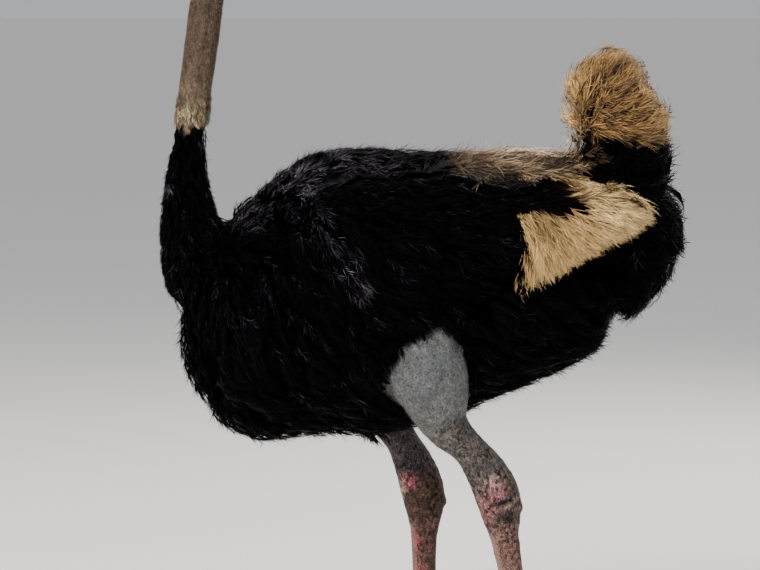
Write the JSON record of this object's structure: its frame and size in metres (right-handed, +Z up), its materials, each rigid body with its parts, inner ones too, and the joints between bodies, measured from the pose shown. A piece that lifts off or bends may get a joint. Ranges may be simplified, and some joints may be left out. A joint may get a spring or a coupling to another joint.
{
  "type": "life-size ostrich model",
  "caption": "Standing adult male ostrich in mid-stride: black plumage, folded wings over tan plumes, raised bushy tan tail, bare upright neck, small flat-billed head and long bare legs.",
  "frame": {"origin": "on the floor, at the middle of the footprint of the whole bird's box", "axes": "+Z up; the bird faces -X; its left side is -Y"},
  "size_m": [1.4296, 0.575, 2.1859],
  "materials": {
    "black_plumage": "loose, soft body feathers with a faint cold sheen",
    "tan_plumage": "long, soft, frayed plumes",
    "neck_skin": "matt skin under sparse short down",
    "leg_skin": "matt, coarse-grained bare skin with short bristles",
    "scutes": "satin leg scales",
    "horn": "satin horn of the bill",
    "claw_horn": "worn horn of the claws",
    "eye": "wet gloss"
  },
  "bodies": {
    "root": {"head": "neck_skin", "eye_left": "eye", "eye_right": "eye", "bill_upper": "horn", "bill_lower": "horn", "neck": "neck_skin", "neck_collar": "black_plumage", "trunk": "black_plumage", "wing_left": "black_plumage", "wing_right": "black_plumage", "wing_plumes_left": "tan_plumage", "wing_plumes_right": "tan_plumage", "tail_coverts": "black_plumage", "tail_plumes": "tan_plumage", "thigh_left": "leg_skin", "shin_left": "leg_skin", "hock_left": "scutes", "cannon_left": "scutes", "knuckle_left": "scutes", "toe_large_left": "scutes", "toe_small_left": "scutes", "claw_left": "claw_horn", "thigh_right": "leg_skin", "shin_right": "leg_skin", "hock_right": "scutes", "cannon_right": "scutes", "knuckle_right": "scutes", "toe_large_right": "scutes", "toe_small_right": "scutes", "claw_right": "claw_horn"}
  },
  "joints": []
}
